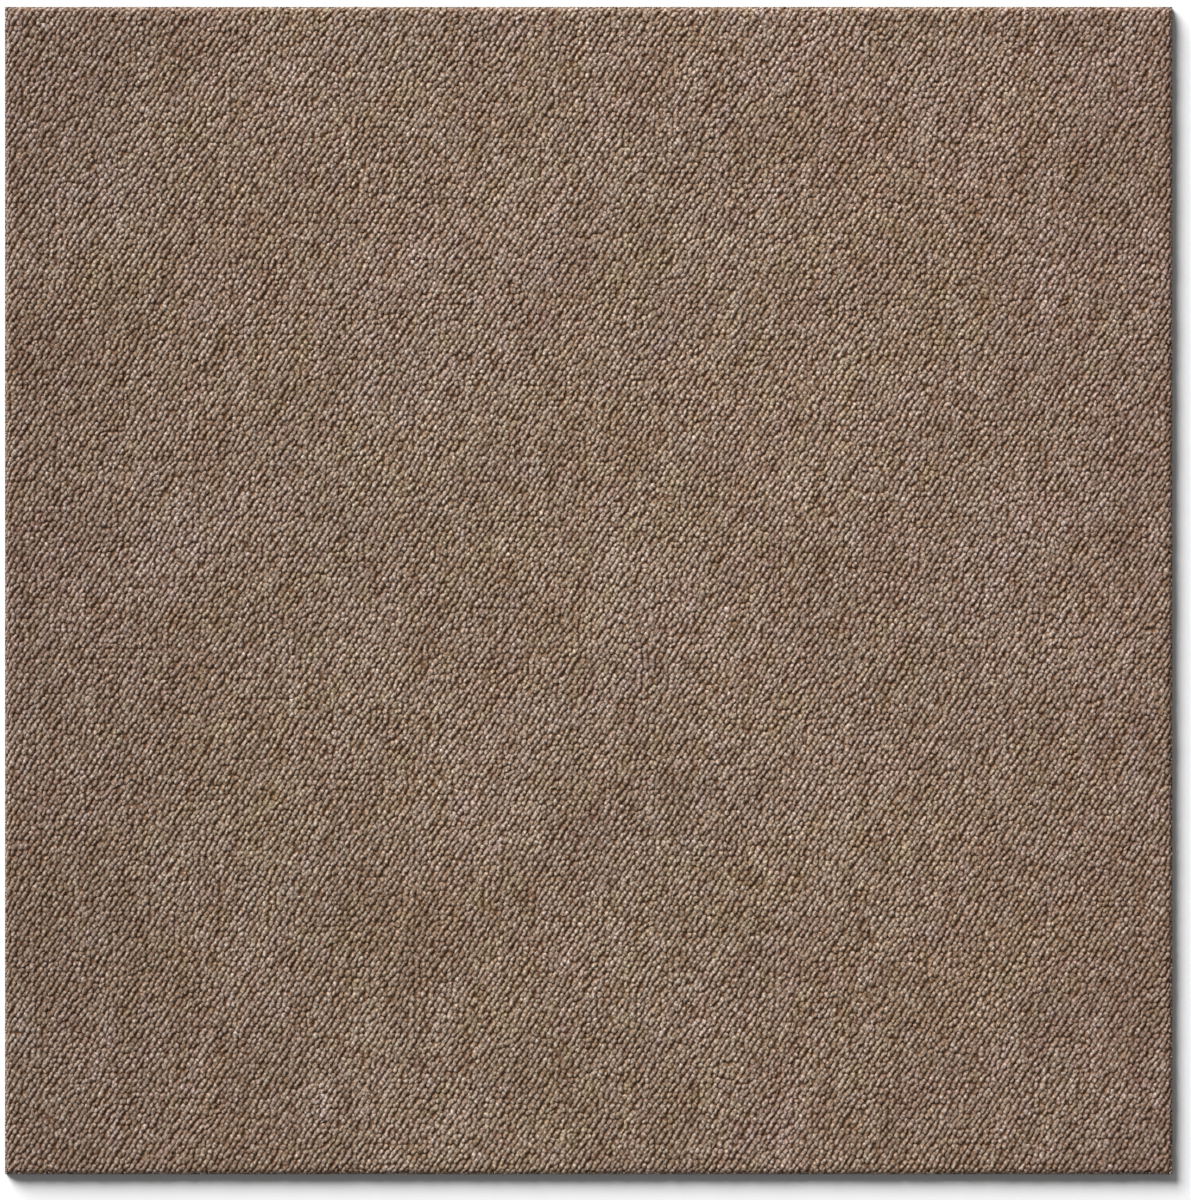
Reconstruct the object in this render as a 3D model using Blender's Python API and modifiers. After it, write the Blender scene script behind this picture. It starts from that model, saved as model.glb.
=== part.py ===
"""Carpet tile: a square of level loop pile bonded to a heavy dark backing sheet.

The tile lies flat with its pile up. Units are metres and +Z is up. The origin is the
middle of the underside, so the floor is at Z = 0. +Y is the direction of tufting.
"""

import math

import bmesh
import bpy

# Plan of the die-cut tile. Both layers are cut by one blade, so they share it.
TILE_WIDTH = 0.500
TILE_LENGTH = 0.500

# Section, from the floor up. The gap is where the yarn is stitched and glued down.
BACKING_THICKNESS = 0.0027
BOND_GAP = 0.0003
PILE_HEIGHT = 0.0030

# The outer loops lean out over the cut and round the shoulder of the pile.
PILE_SHOULDER_RADIUS = 0.0020
SHOULDER_SEGMENTS = 6
# The shoulder never takes more than this share of the pile's height.
MOST_OF_PILE = 0.9
# Edges that turn by more than this are shaded sharp.
SHARP_ANGLE = math.radians(35)

COLLECTION_NAME = "carpet_tile"
YARN_COLOUR = (0.227, 0.159, 0.114, 1.0)
YARN_ROUGHNESS = 0.95
BACKING_COLOUR = (0.020, 0.019, 0.019, 1.0)
BACKING_ROUGHNESS = 0.75


def clear_scene():
    """Remove every object, so that the script starts from an empty scene."""
    for leftover in list(bpy.data.objects):
        bpy.data.objects.remove(leftover, do_unlink=True)


def make_material(name, colour, roughness):
    """A plain dielectric surface of one colour."""
    material = bpy.data.materials.new(name)
    material.use_nodes = True
    shader = material.node_tree.nodes["Principled BSDF"]
    shader.inputs["Base Color"].default_value = colour
    shader.inputs["Roughness"].default_value = roughness
    shader.inputs["Metallic"].default_value = 0.0
    return material


def make_layer(name, thickness, base_height, tile, collection):
    """A slab of the tile's plan that stands on its own origin, base_height over the floor."""
    bpy.ops.mesh.primitive_cube_add(size=1.0)
    layer = bpy.context.object
    layer.name = name
    layer.data.name = name
    layer.scale = (TILE_WIDTH, TILE_LENGTH, thickness)
    bpy.ops.object.transform_apply(location=False, rotation=False, scale=True)
    for vertex in layer.data.vertices:
        vertex.co.z += thickness / 2
    for holder in list(layer.users_collection):
        holder.objects.unlink(layer)
    collection.objects.link(layer)
    layer.parent = tile
    layer.location = (0.0, 0.0, base_height)
    return layer


def mark_top_rim(layer):
    """Give the four level edges at the top of a slab a full bevel weight."""
    shape = bmesh.new()
    shape.from_mesh(layer.data)
    weight = shape.edges.layers.float.new("bevel_weight_edge")
    top = max(vertex.co.z for vertex in shape.verts)
    for edge in shape.edges:
        on_rim = all(vertex.co.z == top for vertex in edge.verts)
        edge[weight] = 1.0 if on_rim else 0.0
    shape.to_mesh(layer.data)
    shape.free()


def round_shoulder(pile):
    """Round the pile's top rim, and leave its four upright corners square as cut."""
    mark_top_rim(pile)
    bevel = pile.modifiers.new("shoulder", "BEVEL")
    bevel.limit_method = "WEIGHT"
    bevel.width = min(PILE_SHOULDER_RADIUS, MOST_OF_PILE * PILE_HEIGHT)
    bevel.segments = SHOULDER_SEGMENTS
    pile.data.shade_smooth()
    pile.data.set_sharp_from_angle(angle=SHARP_ANGLE)


def build_backing(tile, collection):
    """The heavy sheet that keeps the tile flat and lies on the floor."""
    backing = make_layer("backing", BACKING_THICKNESS, 0.0, tile, collection)
    sheet = make_material("backing_sheet", BACKING_COLOUR, BACKING_ROUGHNESS)
    backing.data.materials.append(sheet)


def build_pile(tile, collection):
    """The bed of yarn loops, as one slab that ends at the crowns of the loops."""
    base_height = BACKING_THICKNESS + BOND_GAP
    pile = make_layer("loop_pile", PILE_HEIGHT, base_height, tile, collection)
    round_shoulder(pile)
    yarn = make_material("loop_yarn", YARN_COLOUR, YARN_ROUGHNESS)
    pile.data.materials.append(yarn)


def build_tile():
    """The whole tile, with both layers under one empty at the origin."""
    collection = bpy.data.collections.new(COLLECTION_NAME)
    bpy.context.scene.collection.children.link(collection)
    tile = bpy.data.objects.new(COLLECTION_NAME, None)
    collection.objects.link(tile)
    build_backing(tile, collection)
    build_pile(tile, collection)


clear_scene()
build_tile()
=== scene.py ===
"""Looks of the carpet tile: a level bed of yarn loops over a dark backing, seen from above.

Lengths are metres in the frame of the CAD model: +Z is up, the floor is at Z = 0, +X points
to the right of the photograph and +Y to its top. Colours are scene linear. The pile is bands
of separate loops, a rim of legs down the cut edges and a bed under them all.
"""

import math

import bpy
import numpy as np
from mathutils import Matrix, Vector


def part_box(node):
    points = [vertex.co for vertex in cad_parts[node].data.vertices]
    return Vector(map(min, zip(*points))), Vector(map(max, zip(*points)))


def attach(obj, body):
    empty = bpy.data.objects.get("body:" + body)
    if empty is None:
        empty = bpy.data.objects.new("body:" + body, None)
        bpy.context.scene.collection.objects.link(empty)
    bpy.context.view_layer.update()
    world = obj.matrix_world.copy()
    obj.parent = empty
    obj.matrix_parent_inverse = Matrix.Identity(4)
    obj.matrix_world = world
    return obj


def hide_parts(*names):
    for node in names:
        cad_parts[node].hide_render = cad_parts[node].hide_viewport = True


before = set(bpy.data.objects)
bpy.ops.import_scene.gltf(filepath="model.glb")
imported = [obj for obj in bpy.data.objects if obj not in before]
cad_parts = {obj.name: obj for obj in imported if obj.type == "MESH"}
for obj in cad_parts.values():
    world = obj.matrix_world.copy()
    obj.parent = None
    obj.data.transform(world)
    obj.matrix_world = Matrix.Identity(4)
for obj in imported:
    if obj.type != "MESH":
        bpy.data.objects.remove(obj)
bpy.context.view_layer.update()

BODY = "root"
PILE_NODE = "loop_pile"
BACKING_NODE = "backing"

MM = 0.001
SEED = 20250

# The solids that the pieces keep to.
pile_low, pile_high = (np.array(corner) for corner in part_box(PILE_NODE))
BACKING_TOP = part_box(BACKING_NODE)[1][2]
TILE_SIZE = pile_high[:2] - pile_low[:2]
HALF_TILE = TILE_SIZE / 2
PILE_HEIGHT = pile_high[2] - pile_low[2]

# How the yarn is tufted. Each needle sews one column, and steps aside at every stitch.
GAUGE = 2.71 * MM
STITCH = 2.165 * MM
SIDE_STEP = GAUGE / 4.7
COLUMNS = round(TILE_SIZE[0] / GAUGE)
ROWS = round(TILE_SIZE[1] / STITCH)
BANDS = 8
TWIST = 2.6 * MM
PLY_SLANT = 0.5

# One loop's crown. It is long in the direction in which the loops lean, from the lower
# left to the upper right, so that they meet end to end as slanting ropes.
LEAN_ANGLE = math.radians(65)
CROWN_HALF_LENGTH = 0.95 * MM
SHOULDER_HALF_LENGTH = 1.55 * MM
SHOULDER_HALF_WIDTH = 0.76 * MM
SHOULDER_DROP = 0.39 * MM
END_DROP = 0.32 * MM
FOOT_HALF_LENGTH = 1.95 * MM
FOOT_HALF_WIDTH = 1.70 * MM
FOOT_HEIGHT = 1.70 * MM

# How much the loops differ from one another, as standard deviations. A loop stands at full
# height or by chance a few spreads under it. Neighbours also swerve and turn together.
ALONG_SPREAD = 0.26 * MM
ACROSS_SPREAD = 0.24 * MM
TURN_SPREAD = math.radians(14)
SIZE_SPREAD = 0.12
HEIGHT_SPREAD = 0.11 * MM
HEIGHT_SHIFT = 1.2
DEEPEST = 3
TOPPLE_SPREAD = 0.20 * MM
SWERVE_REACH = 22 * MM
SWERVE_ALONG = 0.5
SWERVE_ACROSS = 0.8
TURN_REACH = 30 * MM
TURN_ALONE = 0.9
TURN_TOGETHER = 0.45

# How the dye differs from loop to loop. Drift is a share and how many stitches it lasts for.
# Swells are each a share, a reach, and how many times longer they are along the columns. A
# swell is a sum of waves, whose lengths are the reach times something between two shares.
WAVES = 24
WAVE_SHARES = (0.7, 1.6)
TONE_ALONE = 0.65
TONE_DRIFT = (0.60, 5)
TONE_SWELLS = ((0.43, 10 * MM, 1.8), (0.32, 30 * MM, 1.8), (0.30, 90 * MM, 1.0))
TINT_DRIFT = (0.3, 4)
TINT_SWELLS = ((0.7, 12 * MM, 1.5), (0.45, 50 * MM, 1.0), (0.35, 150 * MM, 1.0))

# How the colour changes over the whole tile, whose edges lie at -1 and 1 here: darker and bluer at both
# sides, a little lighter to the right, darker towards the near end from where it starts, and redder to
# the right and to the far end.
SIDE_DARK = 1.6
RIGHT_LIGHT = 0.15
NEAR_DARK = 0.42
NEAR_START = 0.6
SIDE_BLUE = 1.7
RIGHT_RED = 0.9
FAR_RED = 1.0

# The die-cut edge. The outer loops lean out and round the shoulder of the pile.
SHOULDER_RADIUS = 2.65 * MM
CUT_FUZZ = 0.08 * MM
OUTWARD = 1.02

# The legs of the outermost loops, which the cut lays bare. A leg is a few rings of six
# points, each given as a share of its height and of its radius, under a point on top.
LEG_SPACING = 1.25 * MM
LEG_STRAY = 0.15 * LEG_SPACING
LEG_INSET = 2 * CUT_FUZZ
LEG_RADIUS = 0.62 * MM
LEG_HEIGHT = 2.10 * MM
LEG_LEAN = 0.22 * MM
LEG_SIDES = 6
LEG_RINGS = ((0.0, 0.95), (0.35, 1.0), (0.75, 0.95), (0.93, 0.6))
RADIUS_SHARES = (0.75, 1.05)
HEIGHT_SHARES = (0.8, 1.1)
# The depth that each leg carries, from its foot to its top. Through the yarn's painted shade it makes the
# legs darker and browner down towards the backing.
LEG_DEPTH_BELOW = 0.30
LEG_DEPTH_FALL = 0.20
LEG_DYE_SPREAD = (0.9, 0.7, 0.7)

# The slab under the loops: how far it stands over their feet, and its slope inwards.
BED_RISE = 0.2 * MM
BED_TAPER = 1.6 * MM

# How far from the middle of its cell in the bake map each ring of a shape lies.
BAKE_CROWN, BAKE_SHOULDER, BAKE_FOOT = 0.13, 0.31, 0.46

# The ranges that dye values and noise textures mostly keep to, and the wave texture's pace.
DYE_RANGE = (-3.0, 3.0)
NOISE_RANGE = (0.30, 0.70)
WAVE_RADIANS = 10

# Filaments turn round the yarn a little as they run along it, and are drawn out along it.
FILAMENT_TURN = 0.4
FILAMENT_SQUEEZE = 0.15
FILAMENT_RELIEF = 0.5
BLADE_MARKS = 0.5

# How deep the bump of each material is.
YARN_BUMP = 0.14 * MM
BED_BUMP = 0.2 * MM
BACKING_BUMP = 0.22 * MM

# Colours from dark to light, each with its place on the scale, and the share of the yarn's lightness that
# is read on it. The gap shade goes by depth instead, and is painted shade: darker and browner low between
# the loops.
YARN_SCALE = 0.42
YARN_SHADES = (
    (0.0, (0.060, 0.024, 0.008)),
    (0.15, (0.180, 0.110, 0.068)),
    (0.40, (0.344, 0.262, 0.200)),
    (0.70, (0.531, 0.431, 0.359)),
    (1.0, (0.658, 0.551, 0.474)),
)
YARN_GAP_SHADE = ((0.24, (1.0, 1.0, 1.0)), (0.43, (1.15, 0.72, 0.36)))
# The bed's colours are darker and browner than the yarn's: partly its own colour, partly painted shade at
# the bottom of the gaps.
BED_SHADES = ((0.3, (0.09, 0.042, 0.018)), (0.7, (0.17, 0.09, 0.04)))
BACKING_SHADES = ((0.20, (0.010, 0.0096, 0.0092)), (0.55, (0.036, 0.034, 0.032)))

# The photograph's frame and where the tile's middle lies in it, in its pixels.
PHOTO_SIZE = (1191, 1200)
TILE_MIDDLE = (588.6, 590.5)
TILE_PIXELS = (1165.3, 1172.0)
LENS = 180.0
SENSOR = 36.0
CLIP_NEAR = 0.01
CLIP_FAR = 200.0

# The studio. The horizon fades into the fill between two heights of the sky.
FLOOR_SIZE = 40.0
FLOOR_DROP = 0.05 * MM
FLOOR_WHITE = 0.87
KEY_TURN = math.radians(127)
KEY_RISE = math.radians(26.7)
KEY_WIDTH = math.radians(36)
KEY_STRENGTH = 7.12
FILL = 0.17
HORIZON = 0.85
HORIZON_TOP = 0.10
FILL_BOTTOM = 0.28


def wander(rng, x, y, reach):
    """A smooth random field with a spread of one, whose swells are about reach long."""
    total = np.zeros_like(x)
    for _ in range(WAVES):
        heading = rng.uniform(0, 2 * math.pi)
        number = 2 * math.pi / (reach * rng.uniform(*WAVE_SHARES))
        phase = rng.uniform(0, 2 * math.pi)
        total += np.cos(number * (x * math.cos(heading) + y * math.sin(heading)) + phase)
    return total * math.sqrt(2 / WAVES)


def swells(rng, x, y, parts):
    """Smooth random fields added up, from (share, reach, stretch along the columns) parts."""
    return sum(share * wander(rng, x, y / stretch, reach) for share, reach, stretch in parts)


def drift(rng, columns, rows, share, stitches):
    """Noise with a spread of share that drifts along each column and lasts for some stitches."""
    keep = math.exp(-1 / stitches)
    values = np.empty((columns, rows))
    values[:, 0] = rng.standard_normal(columns)
    for row in range(1, rows):
        fresh = rng.standard_normal(columns)
        values[:, row] = keep * values[:, row - 1] + math.sqrt(1 - keep**2) * fresh
    return share * values


def loop_shape():
    """One loop about its own middle: vertices, bake places and triangles.

    Two points at the crown, a ring of six at the shoulder and a ring of six at the foot.
    """
    hexagon = np.array([(1, 0), (0.5, 1), (-0.5, 1), (-1, 0), (-0.5, -1), (0.5, -1)], float)
    shoulder = hexagon * (SHOULDER_HALF_LENGTH, SHOULDER_HALF_WIDTH)
    foot = hexagon * (FOOT_HALF_LENGTH, FOOT_HALF_WIDTH)
    crown = np.array([(1, 0), (-1, 0)], float)
    end, side = PILE_HEIGHT - END_DROP, PILE_HEIGHT - SHOULDER_DROP
    heights = [PILE_HEIGHT] * 2 + [end, side, side] * 2 + [FOOT_HEIGHT] * 6
    vertices = np.column_stack([np.vstack([crown * CROWN_HALF_LENGTH, shoulder, foot]), heights])
    bake = np.vstack([crown * BAKE_CROWN, hexagon * BAKE_SHOULDER, hexagon * BAKE_FOOT])
    # The crown is points 0 and 1, the shoulder 2 to 7 and the foot 8 to 13.
    triangles = [(0, 2, 3), (0, 3, 1), (1, 3, 4), (1, 4, 5), (1, 5, 6), (1, 6, 0), (0, 6, 7), (0, 7, 2)]
    for corner in range(6):
        after = (corner + 1) % 6
        triangles.append((2 + corner, 8 + corner, 8 + after))
        triangles.append((2 + corner, 8 + after, 2 + after))
    return vertices, bake, np.array(triangles)


def leg_shape():
    """One leg about its own axis: vertices of radius and height one, bake places and triangles."""
    turn = np.arange(LEG_SIDES) * 2 * math.pi / LEG_SIDES
    circle = np.column_stack([np.cos(turn), np.sin(turn)])
    rings = [np.column_stack([circle * share, np.full(LEG_SIDES, height)]) for height, share in LEG_RINGS]
    vertices = np.vstack([*rings, [(0, 0, 1)]])
    levels = len(LEG_RINGS)
    bake = [circle * BAKE_FOOT * (1 - level / levels) for level in range(levels)]
    triangles = []
    for corner in range(LEG_SIDES):
        after = (corner + 1) % LEG_SIDES
        for level in range(levels - 1):
            low, high = level * LEG_SIDES, (level + 1) * LEG_SIDES
            triangles.append((low + corner, low + after, high + after))
            triangles.append((low + corner, high + after, high + corner))
        top = (levels - 1) * LEG_SIDES
        triangles.append((top + corner, top + after, len(vertices) - 1))
    return vertices, np.vstack([*bake, [(0, 0)]]), np.array(triangles)


def lay_out():
    """Where every loop stands and how it differs, as arrays of one row a column of yarn."""
    rng = np.random.default_rng(SEED)
    column, row = np.meshgrid(np.arange(-1, COLUMNS + 1), np.arange(-1, ROWS + 1), indexing="ij")
    side = np.where(row % 2 == 0, 1, -1)
    x = (column + 0.5 - COLUMNS / 2) * TILE_SIZE[0] / COLUMNS + side * SIDE_STEP
    y = (row + 0.5 - ROWS / 2) * TILE_SIZE[1] / ROWS
    shape = x.shape
    loops = {"column": column.clip(0, COLUMNS - 1)}
    reach = HALF_TILE + SHOULDER_RADIUS * (math.pi / 2 - 1)
    loops["inside"] = (np.abs(x) < reach[0]) & (np.abs(y) < reach[1])
    swerve_along = wander(rng, x, y, SWERVE_REACH)
    swerve_across = wander(rng, x, y, SWERVE_REACH)
    along = ALONG_SPREAD * (rng.standard_normal(shape) + SWERVE_ALONG * swerve_along)
    across = ACROSS_SPREAD * (rng.standard_normal(shape) + SWERVE_ACROSS * swerve_across)
    loops["x"] = x + along * math.cos(LEAN_ANGLE) - across * math.sin(LEAN_ANGLE)
    loops["y"] = y + along * math.sin(LEAN_ANGLE) + across * math.cos(LEAN_ANGLE)
    turn = TURN_ALONE * rng.standard_normal(shape)
    turn += TURN_TOGETHER * wander(rng, x, y, TURN_REACH)
    loops["turn"] = LEAN_ANGLE + TURN_SPREAD * turn
    loops["length"] = 1 + SIZE_SPREAD * rng.standard_normal(shape)
    loops["width"] = 1 + SIZE_SPREAD * rng.standard_normal(shape)
    loops["rise"] = HEIGHT_SPREAD * (rng.standard_normal(shape) - HEIGHT_SHIFT).clip(-DEEPEST, 0)
    loops["topple_x"] = TOPPLE_SPREAD * rng.standard_normal(shape)
    loops["topple_y"] = TOPPLE_SPREAD * rng.standard_normal(shape)
    tone = TONE_ALONE * rng.standard_normal(shape) + drift(rng, *shape, *TONE_DRIFT)
    tone += swells(rng, x, y, TONE_SWELLS)
    red, blue = (drift(rng, *shape, *TINT_DRIFT) + swells(rng, x, y, TINT_SWELLS) for _ in range(2))
    right, ahead = x / HALF_TILE[0], y / HALF_TILE[1]
    aside = np.abs(right) ** 3
    tone -= SIDE_DARK * aside - RIGHT_LIGHT * right + NEAR_DARK * (NEAR_START - ahead).clip(0, None) ** 2
    red += RIGHT_RED * right + FAR_RED * ahead
    blue += SIDE_BLUE * aside
    loops["dye"] = np.stack([tone, red, blue], -1)
    loops["phase"] = rng.uniform(0, TWIST, shape)
    return loops


def round_and_cut(points, rng):
    """Bend the pile down over its round shoulder, and trim it at the die-cut edge."""
    centre_height = pile_low[2] + PILE_HEIGHT - SHOULDER_RADIUS
    for axis in (0, 1):
        plan = points[:, :, axis]
        side = np.sign(plan)
        centre = HALF_TILE[axis] - SHOULDER_RADIUS
        angle = ((np.abs(plan) - centre) / SHOULDER_RADIUS).clip(0, math.pi / 2)
        reach = (points[:, :, 2] - centre_height).clip(0, None)
        bent = angle > 0
        points[:, :, axis] = np.where(bent, side * (centre + OUTWARD * reach * np.sin(angle)), plan)
        points[:, :, 2] = np.where(bent, centre_height + reach * np.cos(angle), points[:, :, 2])
        limit = HALF_TILE[axis] - CUT_FUZZ * rng.uniform(0, 1, points.shape[:1])[:, None]
        points[:, :, axis] = np.clip(points[:, :, axis], -limit, limit)
    return points


def make_object(name, vertices, faces, material):
    """A smooth mesh object from arrays, which rides on the tile's one body."""
    mesh = bpy.data.meshes.new(name)
    mesh.vertices.add(len(vertices))
    mesh.vertices.foreach_set("co", np.ascontiguousarray(vertices, np.float32).ravel())
    mesh.loops.add(faces.size)
    mesh.loops.foreach_set("vertex_index", np.ascontiguousarray(faces, np.int32).ravel())
    mesh.polygons.add(len(faces))
    mesh.polygons.foreach_set("loop_start", np.arange(0, faces.size, faces.shape[1], dtype=np.int32))
    mesh.update(calc_edges=True)
    mesh.shade_smooth()
    mesh.materials.append(material)
    piece = bpy.data.objects.new(name, mesh)
    bpy.context.scene.collection.objects.link(piece)
    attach(piece, BODY)
    return piece


def add_values(mesh, name, values):
    """Store one number, or three, for each vertex, for the material to read."""
    kind, field = ("FLOAT", "value") if values.ndim == 1 else ("FLOAT_VECTOR", "vector")
    layer = mesh.attributes.new(name, kind, "POINT")
    layer.data.foreach_set(field, np.ascontiguousarray(values, np.float32).ravel())


def repeat_faces(triangles, size, count):
    """The triangles of count like shapes, each of size vertices, one after another."""
    starts = np.arange(count)[:, None, None] * size
    return (triangles[None] + starts).reshape(-1, 3)


def store_bake_places(mesh, faces, bake, count):
    """A bake map in which each of count like shapes has a square cell of its own."""
    cells = math.ceil(math.sqrt(count))
    corner = np.stack([np.arange(count) % cells, np.arange(count) // cells], -1)
    places = (corner[:, None] + 0.5 + bake[None]) / cells
    layer = mesh.uv_layers.new(name="OFBake", do_init=False)
    layer.uv.foreach_set("vector", places.reshape(-1, 2)[faces.ravel()].astype(np.float32).ravel())


def make_band(number, loops, material):
    """One band of the pile: the loops of some neighbouring columns of yarn, each its own shape."""
    rng = np.random.default_rng(SEED + 1 + number)
    chosen = loops["inside"] & (loops["column"] * BANDS // COLUMNS == number)
    one = {key: values[chosen] for key, values in loops.items()}
    template, bake, triangles = loop_shape()
    count = len(one["x"])
    along = template[:, 0][None, :] * one["length"][:, None]
    across = template[:, 1][None, :] * one["width"][:, None]
    cos, sin = np.cos(one["turn"])[:, None], np.sin(one["turn"])[:, None]
    upper = (template[:, 2] / PILE_HEIGHT)[None, :] ** 2
    points = np.empty((count, len(template), 3))
    points[:, :, 0] = one["x"][:, None] + along * cos - across * sin + upper * one["topple_x"][:, None]
    points[:, :, 1] = one["y"][:, None] + along * sin + across * cos + upper * one["topple_y"][:, None]
    points[:, :, 2] = pile_low[2] + template[:, 2][None, :] + upper * one["rise"][:, None]
    # Depth below the crowns, taken before the shoulder is bent. It sets the yarn's painted shade and
    # painted crown highlight.
    depth_shade = 1 - (points[:, :, 2] - pile_low[2]) / PILE_HEIGHT
    points = round_and_cut(points, rng)
    faces = repeat_faces(triangles, len(template), count)
    band = make_object(f"pile_band_{number + 1}", points.reshape(-1, 3), faces, material)
    add_values(band.data, "depth", depth_shade.reshape(-1))
    add_values(band.data, "dye", np.repeat(one["dye"], len(template), axis=0))
    phase = np.broadcast_to(one["phase"][:, None], along.shape)
    add_values(band.data, "yarn", np.stack([along, -PLY_SLANT * across, phase], -1).reshape(-1, 3))
    store_bake_places(band.data, faces, bake, count)
    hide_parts(PILE_NODE)


def leg_centres(rng):
    """Where the legs stand in plan, in a line inside each of the four edges."""
    centres = []
    for axis in (0, 1):
        run = TILE_SIZE[1 - axis] - 2 * LEG_RADIUS
        count = round(run / LEG_SPACING)
        even = run * ((np.arange(count) + 0.5) / count - 0.5)
        for side in (-1, 1):
            place = np.empty((count, 2))
            inset = LEG_INSET * rng.uniform(0, 1, count)
            place[:, axis] = side * (HALF_TILE[axis] - LEG_RADIUS - inset)
            place[:, 1 - axis] = even + LEG_STRAY * rng.standard_normal(count)
            centres.append(place)
    return np.vstack(centres)


def make_rim(material):
    """The legs of the outermost loops, side by side down the cut on all four sides."""
    rng = np.random.default_rng(SEED)
    template, bake, triangles = leg_shape()
    centres = leg_centres(rng)
    count = len(centres)
    radius = LEG_RADIUS * rng.uniform(*RADIUS_SHARES, count)
    height = LEG_HEIGHT * rng.uniform(*HEIGHT_SHARES, count)
    lean = LEG_LEAN * rng.standard_normal((count, 2))
    climb = template[None, :, 2] * height[:, None]
    points = np.empty((count, len(template), 3))
    points[:, :, :2] = centres[:, None] + template[None, :, :2] * radius[:, None, None]
    points[:, :, :2] += template[None, :, 2, None] * lean[:, None]
    points[:, :, :2] = points[:, :, :2].clip(-HALF_TILE, HALF_TILE)
    points[:, :, 2] = BACKING_TOP + climb
    faces = repeat_faces(triangles, len(template), count)
    rim = make_object("pile_rim", points.reshape(-1, 3), faces, material)
    # Painted shade: the legs grow darker and browner towards their feet.
    add_values(rim.data, "depth", np.tile(LEG_DEPTH_BELOW - LEG_DEPTH_FALL * template[:, 2], count))
    dye = rng.standard_normal((count, 3)) * LEG_DYE_SPREAD
    add_values(rim.data, "dye", np.repeat(dye, len(template), axis=0))
    around = np.arctan2(template[None, :, 1], template[None, :, 0]) * radius[:, None]
    phase = np.broadcast_to(rng.uniform(0, TWIST, count)[:, None], climb.shape)
    add_values(rim.data, "yarn", np.stack([climb, -PLY_SLANT * around, phase], -1).reshape(-1, 3))
    store_bake_places(rim.data, faces, bake, count)
    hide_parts(PILE_NODE)


def make_bed(material):
    """A closed slab under the loops, whose top is smaller by its taper on every side."""
    low, high = pile_low[:2] + LEG_RADIUS, pile_high[:2] - LEG_RADIUS
    places = []
    for z, inset in ((BACKING_TOP, 0), (pile_low[2] + FOOT_HEIGHT + BED_RISE, BED_TAPER)):
        for y in (low[1] + inset, high[1] - inset):
            for x in (low[0] + inset, high[0] - inset):
                places.append((x, y, z))
    faces = [(0, 2, 3, 1), (4, 5, 7, 6), (0, 1, 5, 4), (2, 6, 7, 3), (0, 4, 6, 2), (1, 3, 7, 5)]
    bed = make_object("stitch_bed", np.array(places), np.array(faces), material)
    bed.data.shade_flat()
    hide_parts(PILE_NODE)


def new_material(name):
    """A node material, its shader, and helpers that add linked nodes and plug in the shader."""
    material = bpy.data.materials.new(name)
    material.use_nodes = True
    tree = material.node_tree
    shader = tree.nodes["Principled BSDF"]

    def add(kind, links=(), **settings):
        node = tree.nodes.new(kind)
        for key, value in settings.items():
            if key in node.inputs:
                node.inputs[key].default_value = value
            else:
                setattr(node, key, value)
        for socket, source in links:
            tree.links.new(source, node.inputs[socket])
        return node

    def plug(source, socket):
        tree.links.new(source, shader.inputs[socket])

    return material, shader, add, plug


def noise(add, place, **settings):
    """A noise texture's value at a place."""
    return add("ShaderNodeTexNoise", [("Vector", place)], **settings).outputs["Fac"]


def ramp(add, source, stops):
    """A colour ramp over a value, from (position, colour) stops."""
    node = add("ShaderNodeValToRGB", [("Fac", source)])
    elements = node.color_ramp.elements
    for index, (position, colour) in enumerate(stops):
        element = elements[index] if index < 2 else elements.new(position)
        element.position = position
        element.color = (*colour, 1.0)
    return node.outputs["Color"]


def math_node(add, operation, *values):
    """One sum on one or two values, either of which may be a plain number."""
    node = add("ShaderNodeMath", operation=operation)
    for socket, value in zip(node.inputs, values):
        if isinstance(value, (int, float)):
            socket.default_value = value
        else:
            node.id_data.links.new(value, socket)
    return node.outputs["Value"]


def product(add, value, *others):
    """Several values multiplied, one after another."""
    for other in others:
        value = math_node(add, "MULTIPLY", value, other)
    return value


def span(add, source, reads, gives):
    """A value taken in a straight line over what gives spans, as the source goes over reads."""
    node = add("ShaderNodeMapRange", [("Value", source)])
    for socket, value in zip(list(node.inputs)[1:5], (*reads, *gives)):
        socket.default_value = value
    return node.outputs["Result"]


def multiply_colours(add, first, second):
    """Two colours multiplied."""
    node = add("ShaderNodeMix", data_type="RGBA", blend_type="MULTIPLY")
    node.inputs[0].default_value = 1.0
    colours = [socket for socket in node.inputs if socket.type == "RGBA"]
    for socket, value in zip(colours, (first, second)):
        node.id_data.links.new(value, socket)
    return next(socket for socket in node.outputs if socket.type == "RGBA")


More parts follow.
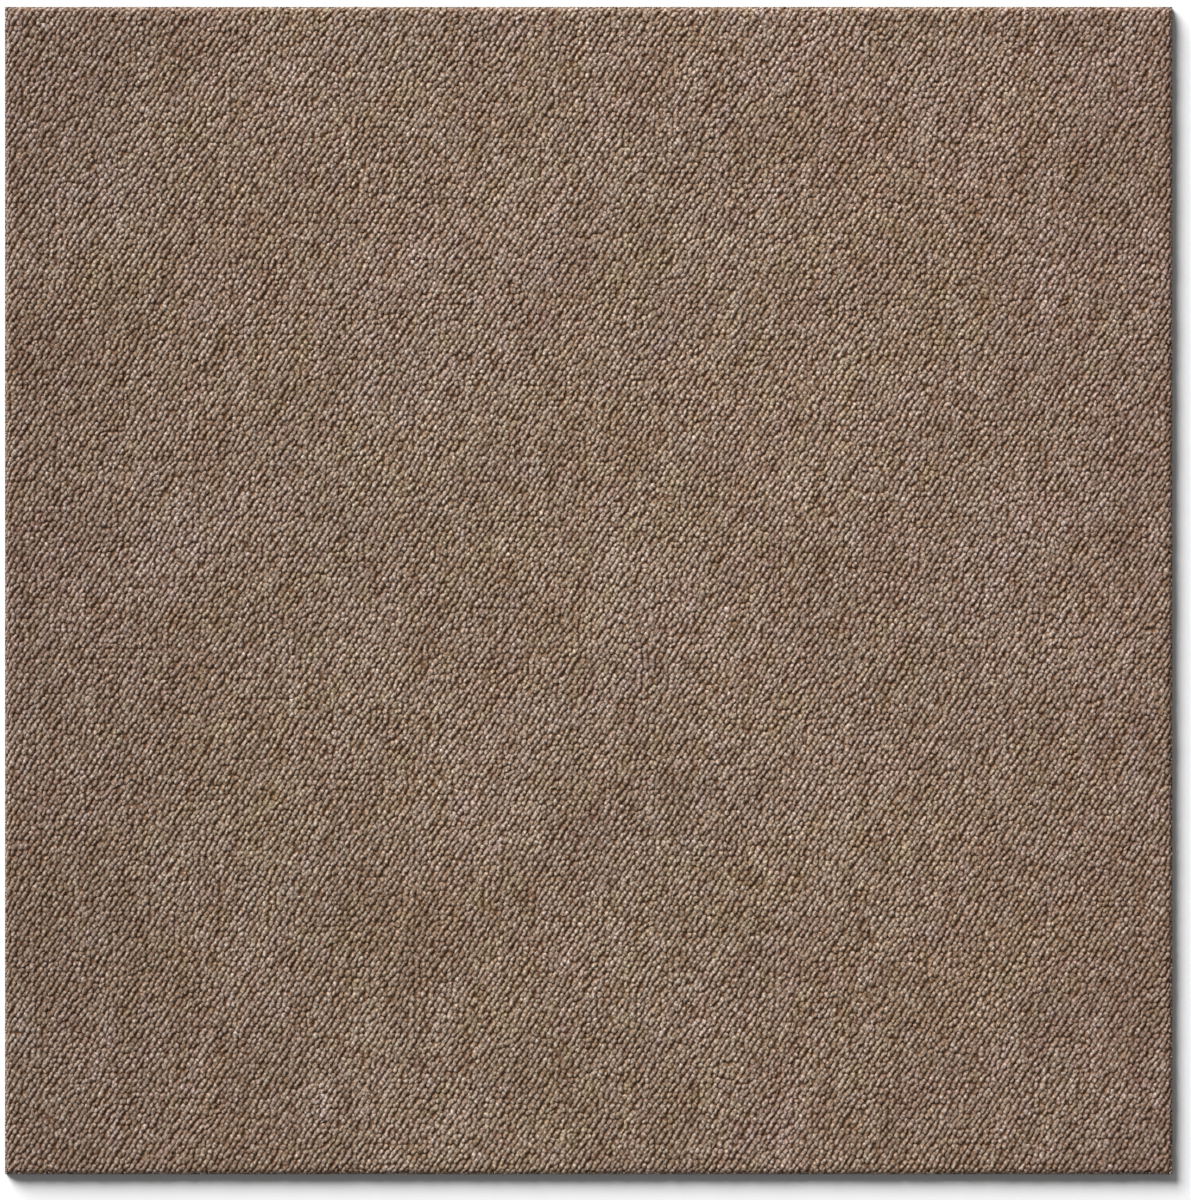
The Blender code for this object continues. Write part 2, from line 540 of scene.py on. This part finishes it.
def yarn_material():
    """Heathered brown yarn: each loop has its own tone, with painted light: lighter at the crowns and
    darker down towards the feet of the loops, where shade falls.
    """
    material, shader, add, plug = new_material("loop_yarn_look")
    dye = add("ShaderNodeAttribute", attribute_name="dye").outputs["Vector"]
    tone, red, blue = add("ShaderNodeSeparateXYZ", [("Vector", dye)]).outputs
    depth = add("ShaderNodeAttribute", attribute_name="depth").outputs["Fac"]
    yarn = add("ShaderNodeAttribute", attribute_name="yarn").outputs["Vector"]
    place = add("ShaderNodeTexCoord").outputs["Object"]

    # Fibres of mixed dye, and the two plies that the yarn is twisted from.
    fibre = noise(add, place, Scale=860.0, Detail=0.5, Roughness=0.6)
    wave_scale = 2 * math.pi / WAVE_RADIANS / TWIST
    wave = add("ShaderNodeTexWave", [("Vector", yarn)], Scale=wave_scale, bands_direction="DIAGONAL")
    twist = wave.outputs["Fac"]

    # Fine filaments along the yarn.
    along = add("ShaderNodeSeparateXYZ", [("Vector", yarn)]).outputs["X"]
    around = add("ShaderNodeVectorMath", [(0, yarn)], operation="DOT_PRODUCT")
    around.inputs[1].default_value = (FILAMENT_TURN, 1 / PLY_SLANT, 1.0)
    drawn_out = product(add, along, FILAMENT_SQUEEZE)
    lay = add("ShaderNodeCombineXYZ", [("X", around.outputs["Value"]), ("Y", drawn_out)])
    filament = noise(add, lay.outputs["Vector"], Scale=7500.0, Detail=1.0)

    # How light each point is: its loop's tone, its filaments, painted shade that makes it darker the
    # farther down it lies and lighter at the crowns, its fibres, and painted shade in the grooves between
    # the plies of its twist.
    dyed = span(add, tone, DYE_RANGE, (0.62, 1.38))
    strand = span(add, filament, NOISE_RANGE, (0.80, 1.20))
    # Painted light: lighter at the crowns, darker towards the feet of the loops.
    depth_shade = span(add, depth, (0.0, 0.4), (1.20, 0.22))
    fleck = span(add, fibre, NOISE_RANGE, (0.38, 1.32))
    # Painted shade in the grooves between the twisted plies.
    ply_groove_shade = span(add, twist, (0.0, 1.0), (0.66, 1.16))
    shade = ramp(add, product(add, dyed, strand, depth_shade, fleck, ply_groove_shade, YARN_SCALE), YARN_SHADES)
    redness = span(add, red, DYE_RANGE, (0.95, 1.05))
    blueness = span(add, blue, DYE_RANGE, (0.86, 1.14))
    hue = add("ShaderNodeCombineXYZ", [("X", redness), ("Z", blueness)], Y=1.0).outputs["Vector"]
    # Painted shade: darker and browner low between the loops, for the shade and the light bounced between
    # them.
    gap_shade = ramp(add, depth, YARN_GAP_SHADE)
    plug(multiply_colours(add, multiply_colours(add, shade, hue), gap_shade), "Base Color")

    coarse = math_node(add, "ADD", twist, fibre)
    relief = math_node(add, "ADD", coarse, product(add, filament, FILAMENT_RELIEF))
    bump = add("ShaderNodeBump", [("Height", relief)], Strength=1.0, Distance=YARN_BUMP)
    plug(bump.outputs["Normal"], "Normal")
    plug(span(add, fibre, (0.0, 1.0), (0.78, 0.98)), "Roughness")
    shader.inputs["Specular IOR Level"].default_value = 0.25
    shader.inputs["Sheen Weight"].default_value = 0.10
    shader.inputs["Sheen Roughness"].default_value = 0.5
    return material


def bed_material():
    """The bed that the stitches stand in, which shows only as the bottom of the gaps; its dark brown is
    partly the yarn's own colour and partly painted shade.
    """
    material, shader, add, plug = new_material("stitch_bed_look")
    weave = noise(add, add("ShaderNodeTexCoord").outputs["Object"], Scale=900.0, Detail=4.0)
    plug(ramp(add, weave, BED_SHADES), "Base Color")
    bump = add("ShaderNodeBump", [("Height", weave)], Strength=0.8, Distance=BED_BUMP)
    plug(bump.outputs["Normal"], "Normal")
    shader.inputs["Roughness"].default_value = 0.95
    return material


def backing_material():
    """Dull black sheet with a fine grain, and the marks of the blade down its cut edges."""
    material, _, add, plug = new_material("backing_sheet_look")
    coordinates = add("ShaderNodeTexCoord")
    place = coordinates.outputs["Object"]
    facing = add("ShaderNodeSeparateXYZ", [("Vector", coordinates.outputs["Normal"])]).outputs["Z"]
    upright = math_node(add, "SUBTRACT", 1.0, math_node(add, "ABSOLUTE", facing))
    grain = noise(add, place, Scale=1400.0, Detail=5.0, Roughness=0.65)
    cloud = noise(add, place, Scale=45.0, Detail=3.0)
    drawn_down = add("ShaderNodeMapping", [("Vector", place)], Scale=(1.0, 1.0, 0.08)).outputs["Vector"]
    marks = noise(add, drawn_down, Scale=2200.0, Detail=2.0)
    relief = math_node(add, "ADD", product(add, marks, upright), grain)
    worn = math_node(add, "ADD", grain, product(add, marks, BLADE_MARKS))
    plug(ramp(add, product(add, worn, cloud), BACKING_SHADES), "Base Color")
    bump = add("ShaderNodeBump", [("Height", relief)], Strength=0.8, Distance=BACKING_BUMP)
    plug(bump.outputs["Normal"], "Normal")
    plug(span(add, grain, NOISE_RANGE, (0.60, 0.86)), "Roughness")
    return material


def build_tile():
    """Make every piece of the tile, and dress the backing."""
    loops = lay_out()
    yarn = yarn_material()
    for number in range(BANDS):
        make_band(number, loops, yarn)
    make_rim(yarn)
    make_bed(bed_material())
    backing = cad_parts[BACKING_NODE]
    backing.data.materials.clear()
    backing.data.materials.append(backing_material())


def make_floor():
    """The pale floor."""
    bpy.ops.mesh.primitive_plane_add(size=FLOOR_SIZE, location=(0, 0, -FLOOR_DROP))
    floor = bpy.context.object
    floor.name = "floor"
    material, shader, _, _ = new_material("floor_look")
    shader.inputs["Base Color"].default_value = (FLOOR_WHITE, FLOOR_WHITE, FLOOR_WHITE, 1.0)
    shader.inputs["Roughness"].default_value = 1.0
    shader.inputs["Specular IOR Level"].default_value = 0.0
    floor.data.materials.append(material)


def make_camera():
    """Straight down over the middle of the photograph's frame."""
    data = bpy.data.cameras.new("camera")
    data.lens = LENS
    data.sensor_width = SENSOR
    data.clip_start = CLIP_NEAR
    data.clip_end = CLIP_FAR
    camera = bpy.data.objects.new("camera", data)
    bpy.context.scene.collection.objects.link(camera)
    scale = (TILE_SIZE / TILE_PIXELS).mean()
    distance = LENS / SENSOR * max(PHOTO_SIZE) * scale
    aside = (PHOTO_SIZE[0] / 2 - TILE_MIDDLE[0]) * scale
    up = (TILE_MIDDLE[1] - PHOTO_SIZE[1] / 2) * scale
    camera.location = (aside, up, pile_high[2] + distance)
    bpy.context.scene.camera = camera


def make_lights():
    """A wide soft key from the upper left, a low fill all round and a pale horizon."""
    data = bpy.data.lights.new("key", "SUN")
    data.energy = KEY_STRENGTH
    data.angle = KEY_WIDTH
    key = bpy.data.objects.new("key", data)
    key.rotation_euler = (math.pi / 2 - KEY_RISE, 0, KEY_TURN + math.pi / 2)
    bpy.context.scene.collection.objects.link(key)
    world = bpy.data.worlds.new("studio")
    bpy.context.scene.world = world
    world.use_nodes = True
    tree = world.node_tree
    direction = tree.nodes.new("ShaderNodeTexCoord").outputs["Generated"]
    split = tree.nodes.new("ShaderNodeSeparateXYZ")
    tree.links.new(direction, split.inputs[0])
    sky = tree.nodes.new("ShaderNodeValToRGB")
    tree.links.new(split.outputs["Z"], sky.inputs["Fac"])
    elements = sky.color_ramp.elements
    elements[0].position = HORIZON_TOP
    elements[0].color = (HORIZON, HORIZON, HORIZON, 1.0)
    elements[1].position = FILL_BOTTOM
    elements[1].color = (FILL, FILL, FILL, 1.0)
    tree.links.new(sky.outputs["Color"], tree.nodes["Background"].inputs["Color"])
    bpy.context.scene.view_settings.view_transform = "Standard"
    bpy.context.scene.view_settings.look = "None"


build_tile()
make_floor()
make_camera()
make_lights()
